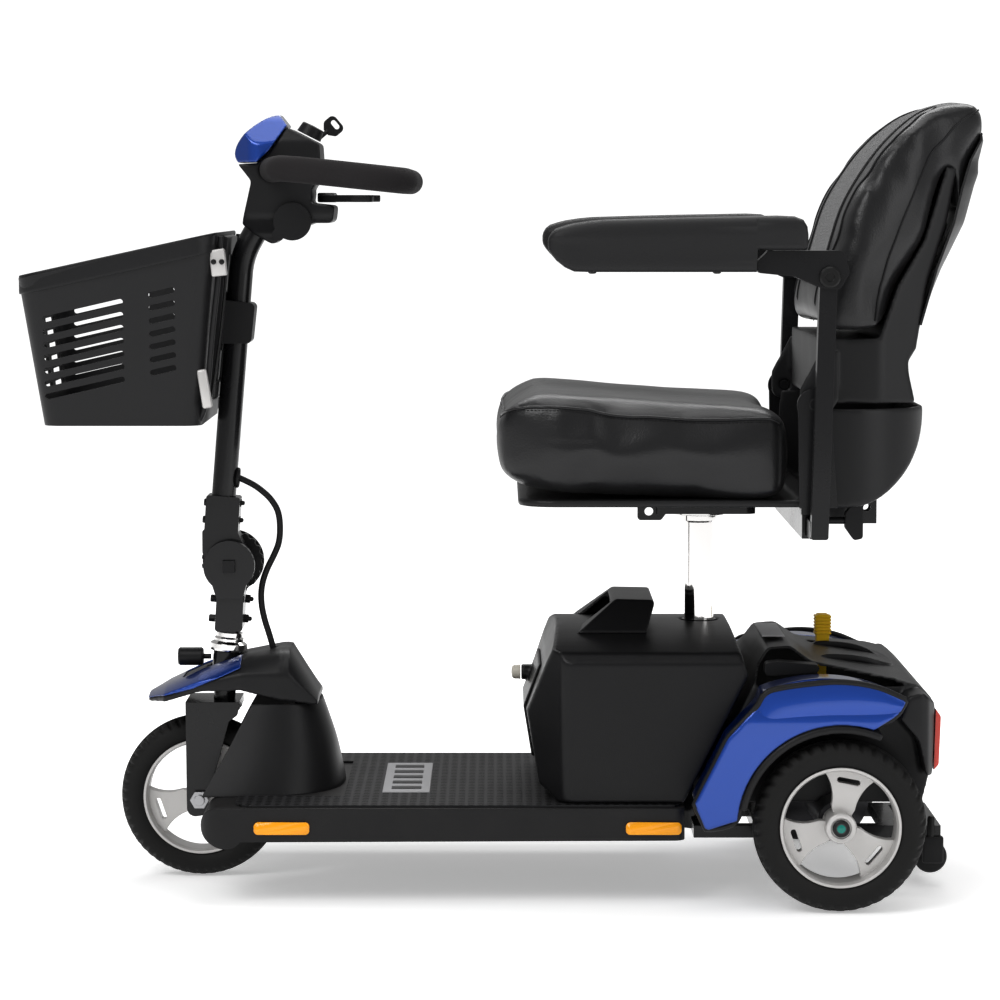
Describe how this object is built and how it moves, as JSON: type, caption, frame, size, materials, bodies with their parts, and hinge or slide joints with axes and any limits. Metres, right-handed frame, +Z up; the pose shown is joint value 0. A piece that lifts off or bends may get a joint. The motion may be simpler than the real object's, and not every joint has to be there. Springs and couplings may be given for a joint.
{
  "type": "three-wheeled travel mobility scooter",
  "caption": "Take-apart electric mobility scooter with a folding tiller, front basket, lift-off battery pack, swivel seat with flip-up armrests and anti-tip rollers.",
  "frame": {"origin": "on the floor under the middle of the scooter's box", "axes": "+X to the rear, -X the front, -Y the rider's left, +Z up"},
  "size_m": [1.0863, 0.551, 0.9],
  "materials": {
    "frame_black": "satin powder coat",
    "deck_black": "moulded satin plastic",
    "mat_black": "ribbed rubber",
    "fairing_black": "moulded satin plastic",
    "trim_blue": "metallic blue gloss",
    "chrome": "polished",
    "amber_red_lens": "moulded prismatic lens",
    "drive_grey": "cast",
    "lever_yellow": "moulded yellow grip",
    "roller_black": "matt",
    "rim_silver": "silver paint",
    "tyre": "matt",
    "bolt_steel": "zinc",
    "knob_black": "moulded",
    "cable_black": "satin",
    "foam": "foam grip",
    "basket_black": "moulded",
    "case_black": "moulded satin plastic",
    "cell_grey": "sealed block",
    "seat_vinyl": "soft black vinyl",
    "shell_black": "smooth moulded",
    "pad_black": "moulded skin foam"
  },
  "bodies": {
    "root": {"main_frame": "frame_black", "deck_pan": "deck_black", "deck_mat": "mat_black", "tower": "fairing_black", "nose_cover": "fairing_black", "nose_trim": "trim_blue", "headset": "chrome", "reflectors": "amber_red_lens", "rear_frame": "frame_black", "drive_unit": "drive_grey", "rear_shroud": "fairing_black", "fenders": "trim_blue"},
    "latch": {"frame_latch": "knob_black"},
    "lock": {"steering_lock": "knob_black"},
    "freewheel": {"freewheel_lever": "lever_yellow"},
    "antitip": {"antitip_wheels": "roller_black"},
    "steer": {"fork": "frame_black", "front_axle": "bolt_steel", "hinge_lower": "frame_black", "cable_lower": "cable_black"},
    "front_wheel": {"front_rim": "rim_silver", "front_tyre": "tyre"},
    "rear_wheel_left": {"rear_rim_left": "rim_silver", "rear_tyre_left": "tyre"},
    "rear_wheel_right": {"rear_rim_right": "rim_silver", "rear_tyre_right": "tyre"},
    "fold_knob": {"hinge_knob": "knob_black"},
    "tiller": {"hinge_upper": "frame_black", "tiller_tube": "frame_black", "handlebar": "frame_black", "grip": "foam", "head_housing": "fairing_black", "head_cover": "trim_blue", "cable_upper": "cable_black", "basket_mount": "basket_black"},
    "wigwag": {"throttle": "knob_black"},
    "ignition": {"key": "knob_black"},
    "speed": {"speed_dial": "knob_black"},
    "cap": {"charger_cap": "knob_black"},
    "basket_body": {"basket": "basket_black"},
    "battery": {"battery_case": "case_black", "battery_cells": "cell_grey", "battery_handle": "case_black", "battery_panel": "case_black"},
    "post": {"seat_post": "chrome"},
    "seat": {"swivel_plate": "frame_black", "seat_pan": "shell_black", "seat_cushion": "seat_vinyl", "seat_hinges": "frame_black", "arm_receiver": "frame_black", "arm_knobs": "knob_black"},
    "swivel_release": {"swivel_lever": "frame_black"},
    "back": {"back_shell": "shell_black", "back_cushion": "seat_vinyl"},
    "arm_left": {"arm_post_left": "frame_black"},
    "arm_right": {"arm_post_right": "frame_black"},
    "arm_flip_left": {"arm_bar_left": "frame_black", "arm_pad_left": "pad_black"},
    "arm_flip_right": {"arm_bar_right": "frame_black", "arm_pad_right": "pad_black"}
  },
  "joints": [
    {"name": "steering", "type": "hinge", "parent": "root", "child": "steer", "pos_m": [-0.315, 0, 0.274], "axis": [0.0872, 0, 0.9962], "range_deg": [-40, 40], "deforming": ["cable_lower"]},
    {"name": "front_wheel_spin", "type": "hinge", "parent": "steer", "child": "front_wheel", "pos_m": [-0.347, 0, 0.094], "axis": [0, 1, 0], "continuous": true},
    {"name": "tiller_fold", "type": "hinge", "parent": "steer", "child": "tiller", "pos_m": [-0.3125, 0, 0.3635], "axis": [0, 1, 0], "range_deg": [-12, 20], "deforming": ["cable_upper"]},
    {"name": "fold_knob_turn", "type": "hinge", "parent": "steer", "child": "fold_knob", "pos_m": [-0.3125, 0.035, 0.3635], "axis": [0, 1, 0], "continuous": true},
    {"name": "throttle_turn", "type": "hinge", "parent": "tiller", "child": "wigwag", "pos_m": [-0.199, 0, 0.786], "axis": [0, 0, 1], "range_deg": [-12, 12], "stiffness_Nm_per_rad": 0.5},
    {"name": "key_turn", "type": "hinge", "parent": "tiller", "child": "ignition", "pos_m": [-0.212, 0.026, 0.853], "axis": [0.766, 0, 0.6428], "range_deg": [0, 90]},
    {"name": "speed_turn", "type": "hinge", "parent": "tiller", "child": "speed", "pos_m": [-0.22, 0, 0.857], "axis": [0.454, 0, 0.891], "range_deg": [0, 270]},
    {"name": "cap_swing", "type": "hinge", "parent": "tiller", "child": "cap", "pos_m": [-0.252, -0.054, 0.745], "axis": [0, 1, 0], "range_deg": [0, 100]},
    {"name": "basket_lift", "type": "slide", "parent": "tiller", "child": "basket_body", "axis": [0.082, 0, 0.9966], "range_m": [0, 0.04]},
    {"name": "rear_wheel_left_spin", "type": "hinge", "parent": "root", "child": "rear_wheel_left", "pos_m": [0.375, -0.219, 0.096], "axis": [0, 1, 0], "continuous": true},
    {"name": "rear_wheel_right_spin", "type": "hinge", "parent": "root", "child": "rear_wheel_right", "pos_m": [0.375, 0.219, 0.096], "axis": [0, 1, 0], "continuous": true},
    {"name": "antitip_spin", "type": "hinge", "parent": "root", "child": "antitip", "pos_m": [0.495, 0, 0.032], "axis": [0, 1, 0], "continuous": true},
    {"name": "freewheel_throw", "type": "hinge", "parent": "root", "child": "freewheel", "pos_m": [0.382, 0.08, 0.195], "axis": [0, 1, 0], "range_deg": [0, 25]},
    {"name": "lock_pull", "type": "slide", "parent": "root", "child": "lock", "axis": [-1, 0, 0], "range_m": [0, 0.008], "stiffness_N_per_m": 400},
    {"name": "latch_turn", "type": "hinge", "parent": "root", "child": "latch", "pos_m": [0.302, -0.148, 0.262], "axis": [0, -1, 0], "range_deg": [0, 60]},
    {"name": "battery_lift", "type": "slide", "parent": "root", "child": "battery", "axis": [0, 0, 1], "range_m": [0, 0.05]},
    {"name": "seat_height", "type": "slide", "parent": "root", "child": "post", "axis": [0, 0, 1], "range_m": [0, 0.05]},
    {"name": "seat_swivel", "type": "hinge", "parent": "post", "child": "seat", "pos_m": [0.231, 0, 0.43], "axis": [0, 0, 1], "continuous": true},
    {"name": "swivel_release_pull", "type": "hinge", "parent": "seat", "child": "swivel_release", "pos_m": [0.302, 0.05, 0.44], "axis": [0, 0, 1], "range_deg": [0, 12], "stiffness_Nm_per_rad": 1},
    {"name": "back_fold", "type": "hinge", "parent": "seat", "child": "back", "pos_m": [0.345, 0, 0.561], "axis": [0, -1, 0], "range_deg": [0, 75]},
    {"name": "arm_left_slide", "type": "slide", "parent": "seat", "child": "arm_left", "axis": [0, -1, 0], "range_m": [0, 0.03]},
    {"name": "arm_right_slide", "type": "slide", "parent": "seat", "child": "arm_right", "axis": [0, 1, 0], "range_m": [0, 0.03]},
    {"name": "arm_left_flip", "type": "hinge", "parent": "arm_left", "child": "arm_flip_left", "pos_m": [0.3565, -0.244, 0.7015], "axis": [0, 1, 0], "range_deg": [0, 95]},
    {"name": "arm_right_flip", "type": "hinge", "parent": "arm_right", "child": "arm_flip_right", "pos_m": [0.3565, 0.244, 0.7015], "axis": [0, 1, 0], "range_deg": [0, 95]}
  ]
}
